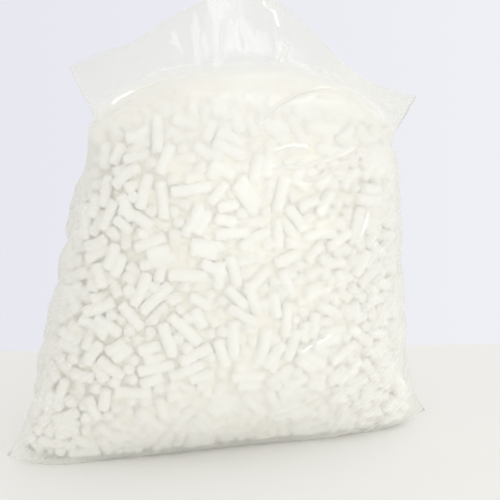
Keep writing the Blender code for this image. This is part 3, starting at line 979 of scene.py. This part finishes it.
def film_material():
    """Clear film: see-through with a plain gloss, milky where it is slack or creased, with a painted
    highlight of milk along its creases.
    """
    material = bpy.data.materials.new("clear_film")
    graph = Graph(material)
    place = graph.add("ShaderNodeTexCoord").outputs["Object"]
    fine, ridge = fine_creases(graph, place), long_ridges(graph)
    crinkle = graph.noise(place, Scale=55.0, Detail=4.0, Roughness=0.55, Distortion=0.6)
    height = graph.maths("ADD", crinkle, graph.maths("MULTIPLY", fine, 0.9))
    bump = graph.add("ShaderNodeBump", Strength=0.35, Distance=0.0016, Height=height).outputs[0]
    fold = graph.add("ShaderNodeBump", Strength=1.0, Distance=crease_height, Height=ridge, Normal=bump)
    normal = fold.outputs["Normal"]
    fresnel = graph.add("ShaderNodeFresnel", IOR=1.50, Normal=normal).outputs["Fac"]
    shine = graph.maths("MINIMUM", graph.maths("MULTIPLY", fresnel, shine_gain), most_shine)
    clear = graph.add("ShaderNodeBsdfTransparent", Color=film_clear).outputs[0]
    gloss = graph.add("ShaderNodeBsdfGlossy", Color=film_gloss, Roughness=0.12, Normal=normal).outputs[0]
    milk = graph.add("ShaderNodeBsdfDiffuse", Color=milk_colour).outputs[0]
    glow = graph.add("ShaderNodeBsdfTranslucent", Color=glow_colour).outputs[0]
    milk_and_painted_highlight = graph.maths("ADD", graph.shade("veil"), graph.maths("MULTIPLY", fine, fine_whitening_and_highlight), clamp=True)
    # Painted highlight: more milk along the long creases; along the fine creases it is partly the film's
    # whitening
    milk_and_painted_highlight = graph.maths("ADD", milk_and_painted_highlight, graph.maths("MULTIPLY", ridge, crease_painted_highlight), clamp=True)
    both = graph.blend(milk_and_painted_highlight, graph.blend(shine, clear, gloss), graph.blend(0.5, milk, glow))
    folded = graph.blend(graph.maths("MULTIPLY", ridge, crease_gloss), both, gloss)
    shadow = graph.add("ShaderNodeLightPath").outputs["Is Shadow Ray"]
    graph.add("ShaderNodeOutputMaterial", Surface=graph.blend(shadow, folded, clear))
    return material


def peanut_material():
    """White starch foam: matt and porous, a little uneven in tone, with painted shade that makes it warmer
    deep in the heap.
    """
    material = bpy.data.materials.new("starch_foam")
    graph = Graph(material)
    place = graph.add("ShaderNodeTexCoord").outputs["Object"]
    pores = graph.noise(place, Scale=420.0, Detail=3.0, Roughness=0.6)
    patches = graph.noise(place, Scale=60.0, Detail=2.0)
    tone = graph.maths("MULTIPLY", graph.shade("tone"), 0.12)
    white = graph.colours(graph.maths("ADD", tone, patches, clamp=True), foam_pale, foam_white)
    shader = graph.add("ShaderNodeBsdfPrincipled", Roughness=0.7)
    # Painted shade: the colour turns warm where the mesh lies deep in the heap
    graph.feed(shader.inputs["Base Color"], graph.colours(graph.shade("deep"), white, foam_deep_shade))
    graph.feed(shader.inputs["Specular IOR Level"], 0.25)
    bump = graph.add("ShaderNodeBump", Strength=0.30, Distance=0.0006, Height=pores)
    graph.feed(shader.inputs["Normal"], bump.outputs["Normal"])
    graph.add("ShaderNodeOutputMaterial", Surface=shader.outputs[0])
    return material


def photo_directions():
    """The way from the bag to the camera, and the camera's right and up."""
    azimuth, elevation = math.radians(photo_azimuth), math.radians(photo_elevation)
    level = math.cos(elevation)
    back = Vector((math.sin(azimuth) * level, -math.cos(azimuth) * level, math.sin(elevation)))
    right = Vector((math.cos(azimuth), math.sin(azimuth), 0))
    return back, right, back.cross(right)


def set_camera():
    """The photograph's camera, turned so that photo_target falls on photo_target_px."""
    back, right, up = photo_directions()
    aside = (photo_pixels / 2 - photo_target_px[0]) / focal_pixels
    below = (photo_pixels / 2 - photo_target_px[1]) / focal_pixels
    aim = -back + right * aside - up * below
    camera = bpy.data.cameras.new("camera")
    camera.sensor_width = 36
    camera.lens = focal_pixels / photo_pixels * camera.sensor_width
    camera.clip_start, camera.clip_end = 0.05, 60
    seen = bpy.data.objects.new("camera", camera)
    seen.location = photo_target + back * photo_distance
    seen.rotation_mode = "QUATERNION"
    seen.rotation_quaternion = aim.to_track_quat("-Z", "Y")
    bpy.context.scene.collection.objects.link(seen)
    bpy.context.scene.camera = seen


def seen_rays(graph):
    """1 for rays that see the background as it is: from the camera, also through the clear film."""
    path = graph.add("ShaderNodeLightPath")
    return graph.maths("MAXIMUM", path.outputs["Is Camera Ray"], path.outputs["Is Transmission Ray"])


def wall_with_painted_shade(graph, direction):
    """The wall's colour along a direction from where the photograph was taken, with painted shade: darker to
    the left.
    """
    aside = graph.add("ShaderNodeVectorMath", operation="DOT_PRODUCT")
    graph.feed(aside.inputs[0], direction)
    graph.feed(aside.inputs[1], photo_directions()[1])
    share = graph.maths("MULTIPLY", aside.outputs["Value"], wall_shade_fade)
    return graph.colours(graph.maths("ADD", share, 0.5, clamp=True), (*wall_left, 1), (*wall_right, 1))


def set_light():
    """The room's even light, the wall as the camera sees it, and two soft lamps."""
    world = bpy.data.worlds.new("studio")
    graph = Graph(world)
    direction = graph.add("ShaderNodeTexCoord").outputs["Generated"]
    light = graph.add("ShaderNodeBackground", Color=world_colour, Strength=world_strength)
    wall = graph.add("ShaderNodeBackground", Color=wall_with_painted_shade(graph, direction), Strength=1.0)
    both = graph.blend(seen_rays(graph), light.outputs[0], wall.outputs[0])
    graph.add("ShaderNodeOutputWorld", Surface=both)
    bpy.context.scene.world = world
    for name, place, size, power, aim in lamps:
        lamp = bpy.data.lights.new(name, "AREA")
        lamp.shape = "RECTANGLE"
        lamp.size, lamp.size_y = size
        lamp.energy = power
        box = bpy.data.objects.new(name, lamp)
        box.location = place
        box.rotation_euler = (Vector(aim) - Vector(place)).to_track_quat("-Z", "Y").to_euler()
        bpy.context.scene.collection.objects.link(box)


def table_top():
    """The pale table, which the wall's colour takes over from at its far edge."""
    mesh = bpy.data.meshes.new("table_top")
    built = bmesh.new()
    bmesh.ops.create_grid(built, x_segments=1, y_segments=1, size=6)
    built.to_mesh(mesh)
    built.free()
    table = bpy.data.objects.new("table_top", mesh)
    bpy.context.scene.collection.objects.link(table)
    table.location = (0, 0, -0.0003)
    material = bpy.data.materials.new("table_top")
    graph = Graph(material)
    place = graph.add("ShaderNodeNewGeometry").outputs["Position"]
    away = math.radians(photo_azimuth + table_edge_turn)
    along = graph.add("ShaderNodeVectorMath", operation="DOT_PRODUCT")
    graph.feed(along.inputs[0], place)
    graph.feed(along.inputs[1], (-math.sin(away), math.cos(away), 0))
    beyond = graph.maths("SUBTRACT", along.outputs["Value"], table_edge)
    past = graph.maths("MULTIPLY", beyond, 1 / table_edge_blur, clamp=True)
    board = graph.add("ShaderNodeBsdfPrincipled", Roughness=0.5)
    graph.feed(board.inputs["Base Color"], (*table_colour, 1))
    graph.feed(board.inputs["Specular IOR Level"], 0.3)
    ray = graph.add("ShaderNodeVectorMath", operation="SUBTRACT")
    graph.feed(ray.inputs[0], place)
    graph.feed(ray.inputs[1], photo_target + photo_directions()[0] * photo_distance)
    direction = graph.add("ShaderNodeVectorMath", operation="NORMALIZE")
    graph.feed(direction.inputs[0], ray.outputs["Vector"])
    tone = wall_with_painted_shade(graph, direction.outputs["Vector"])
    wall = graph.add("ShaderNodeEmission", Strength=1.0, Color=tone)
    shown = graph.maths("MULTIPLY", past, seen_rays(graph))
    both = graph.blend(shown, board.outputs[0], wall.outputs[0])
    graph.add("ShaderNodeOutputMaterial", Surface=both)
    mesh.materials.append(material)


def veil_of(points):
    """How milky the film looks at each point: more in the slack crown, and along its sharper bends."""
    up = np.linspace(0, 1, len(points))[:, None]
    flap = spread(up, *milky_flap_start)
    crown = spread(points[:, :, 2], *milky_crown_heights) * (1 - flap)
    across, along = bends(points)
    cell = np.linalg.norm(np.roll(points, -1, axis=1) - points, axis=2) + 1e-4
    bend = np.linalg.norm(across + along, axis=2) / cell
    for _ in range(3):
        bend = (np.roll(bend, 1, axis=1) + np.roll(bend, -1, axis=1)) / 4 + bend / 2
        bend[1:-1] = (bend[2:] + bend[:-2]) / 4 + bend[1:-1] / 2
    return body_milk + crown_milk * crown - flap_milk * flap + bend_milk * spread(bend, *sharp_bend)


def creased_of(points):
    """Where the film is drawn into fine creases: beside the side folds and over the right ear."""
    rows, around = points.shape[:2]
    spare, _ = crease_plan(rows - 1, around // 2)
    up = np.linspace(0, 1, rows)[:, None]
    return spread(spare, *creased_spare) * (1 - spread(up, *creased_end))


def photo_pixels_of(points):
    """Where points lie in the photograph, in its pixels."""
    back, right, up = (np.array(way) for way in photo_directions())
    from_camera = points - (np.array(photo_target) + back * photo_distance)
    away = -(from_camera @ back)
    x = photo_target_px[0] + focal_pixels * (from_camera @ right) / away
    y = photo_target_px[1] - focal_pixels * (from_camera @ up) / away
    return np.stack([x, y], -1)


def long_creases_of(points):
    """Each front point's signed distance in metres to the nearest long crease, and its strength there."""
    around = points.shape[1]
    seen = photo_pixels_of(points)
    nearest = np.full(points.shape[:2], np.inf)
    off = np.zeros(points.shape[:2])
    strength = np.zeros(points.shape[:2])
    for line, most in long_creases:
        line = np.array(line, float)
        count = len(line) - 1
        for k in range(count):
            start, step = line[k], line[k + 1] - line[k]
            length = np.linalg.norm(step)
            share = np.clip(((seen - start) @ step) / length**2, 0, 1)
            far = np.linalg.norm(seen - (start + share[:, :, None] * step), axis=2)
            side = (seen[:, :, 0] - start[0]) * step[1] - (seen[:, :, 1] - start[1]) * step[0]
            closer = far < nearest
            nearest = np.where(closer, far, nearest)
            off = np.where(closer, far * np.sign(side), off)
            place = (k + share) / count
            fade = spread(place, 0, crease_fade) * spread(1 - place, 0, crease_fade)
            strength = np.where(closer, most * fade, strength)
    off *= millimetres_per_pixel / 1000
    strength *= 1 - spread(np.abs(off), *crease_reach)
    on_front = np.arange(around) < around // 2
    return off, strength * on_front[None, :]


set_camera()
set_light()
table_top()
bpy.context.scene.view_settings.view_transform = "Standard"

skin = crumpled_film()
crease_off, crease_strength = long_creases_of(skin)
film = film_object(skin, {
    "veil": veil_of(skin),
    "creased": creased_of(skin),
    "crease_off": crease_off,
    "crease_strength": crease_strength,
})
film.data.materials.append(film_material())
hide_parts("film_bag")
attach(film, "root")

rng = np.random.default_rng(seed)
foam = peanut_material()
depth = Depth()
fill = peanut_pieces(packed_peanuts(depth, rng), depth, rng) + [heap_core()]
for piece in fill:
    piece.data.materials.append(foam)
    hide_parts("peanut_fill")
    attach(piece, "root")
